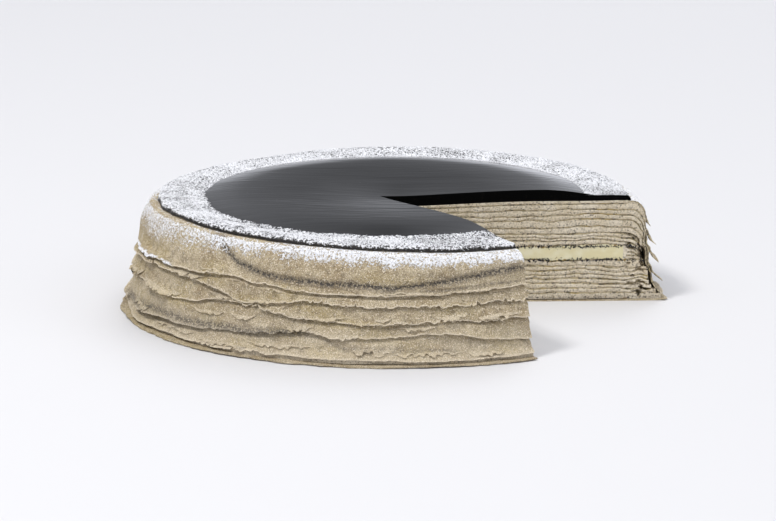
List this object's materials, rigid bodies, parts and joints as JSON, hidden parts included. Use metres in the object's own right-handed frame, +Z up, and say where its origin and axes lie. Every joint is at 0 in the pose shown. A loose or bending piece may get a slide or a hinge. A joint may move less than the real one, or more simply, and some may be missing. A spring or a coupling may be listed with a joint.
{
  "type": "crepe cake",
  "caption": "Round layered crepe cake with draped, overlapping crepes round its side, a dark mirror glaze disc, a sugar-dusted border and one slice cut out.",
  "frame": {"origin": "centre of the round underside of the whole cake, on the surface it rests on", "axes": "+Z up; the missing slice opens towards +X and a little -Y, its back face nearly along +X"},
  "size_m": [0.2468, 0.2465, 0.0515],
  "materials": {
    "crepe": "thin soft pancake, speckled beige, matt with a faint sheen",
    "sesame_cream": "soft cream with black sesame specks",
    "custard": "smooth pale yellow set custard",
    "ganache": "dark sesame ganache with fine specks, satin",
    "glaze": "black mirror glaze",
    "sugar": "loose icing sugar, matt white",
    "sesame": "crushed black sesame grains, matt"
  },
  "bodies": {
    "root": {"crepe_01": "crepe", "crepe_02": "crepe", "crepe_03": "crepe", "crepe_04": "crepe", "crepe_05": "crepe", "crepe_06": "crepe", "crepe_07": "crepe", "crepe_08": "crepe", "crepe_09": "crepe", "crepe_10": "crepe", "crepe_11": "crepe", "crepe_12": "crepe", "crepe_13": "crepe", "crepe_14": "crepe", "crepe_15": "crepe", "crepe_16": "crepe", "crepe_17": "crepe", "crepe_18": "crepe", "cream_01": "sesame_cream", "cream_02": "sesame_cream", "cream_03": "sesame_cream", "cream_04": "sesame_cream", "cream_05": "sesame_cream", "cream_06": "sesame_cream", "cream_07": "sesame_cream", "cream_08": "sesame_cream", "cream_09": "sesame_cream", "cream_10": "sesame_cream", "cream_11": "sesame_cream", "cream_12": "sesame_cream", "cream_13": "sesame_cream", "cream_14": "sesame_cream", "cream_15": "sesame_cream", "cream_16": "sesame_cream", "cream_17": "sesame_cream", "custard": "custard", "cream_collar": "sesame_cream", "ganache": "ganache", "glaze": "glaze"}
  },
  "joints": []
}
